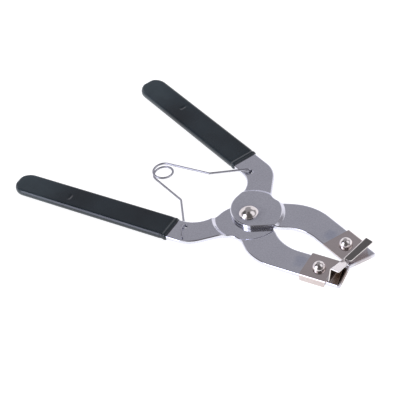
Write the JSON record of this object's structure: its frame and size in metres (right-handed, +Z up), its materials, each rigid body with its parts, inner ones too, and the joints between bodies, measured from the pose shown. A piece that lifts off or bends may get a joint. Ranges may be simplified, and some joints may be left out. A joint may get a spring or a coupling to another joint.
{
  "type": "piston ring pliers",
  "caption": "Long-handled ring-expanding pliers: flat levers riveted side by side, sleeved handles, sloping ring guides on the jaws and a coiled wire spring that shuts them.",
  "frame": {"origin": "on the pivot's axis, at the flat underside of the pivot rivet", "axes": "+X towards the jaws, +Y towards the upper lever, +Z up along the pivot, out of the rivet's domed head"},
  "size_m": [0.2062, 0.119, 0.0142],
  "materials": {
    "lever_chrome": "chrome plate over stamped sheet, bright edges",
    "grip_vinyl": "black dipped vinyl, soft gloss",
    "rivet_nickel": "polished nickel plate",
    "guide_steel": "satin plate, warm grey",
    "spring_wire": "bright spring wire"
  },
  "bodies": {
    "lower_side": {"lower_lever": "lever_chrome", "lower_grip": "grip_vinyl", "pivot_rivet": "rivet_nickel", "lower_ring_guide": "guide_steel", "lower_guide_rivet": "rivet_nickel"},
    "upper_side": {"upper_lever": "lever_chrome", "upper_grip": "grip_vinyl", "upper_ring_guide": "guide_steel", "upper_guide_rivet": "rivet_nickel"},
    "spring_lower": {"spring_lower_half": "spring_wire"},
    "spring_upper": {"spring_upper_half": "spring_wire"}
  },
  "joints": [
    {"name": "lever_pivot", "type": "hinge", "parent": "lower_side", "child": "upper_side", "pos_m": [0, 0, 0.00355], "axis": [0, 0, 1], "range_deg": [0, 20], "stiffness_Nm_per_rad": 0.7, "springref_deg": -17.19},
    {"name": "spring_lower_turn", "type": "hinge", "parent": "lower_side", "child": "spring_lower", "pos_m": [-0.0235, -0.0275, 0.00355], "axis": [0, 0, 1], "range_deg": [0, 16]},
    {"name": "spring_upper_turn", "type": "hinge", "parent": "upper_side", "child": "spring_upper", "pos_m": [-0.0235, 0.0275, 0.00355], "axis": [0, 0, 1], "range_deg": [-16, 0]}
  ],
  "couplings": [
    {"joint": "spring_lower_turn", "follows": "lever_pivot", "ratio": 0.797},
    {"joint": "spring_upper_turn", "follows": "lever_pivot", "ratio": -0.797}
  ]
}
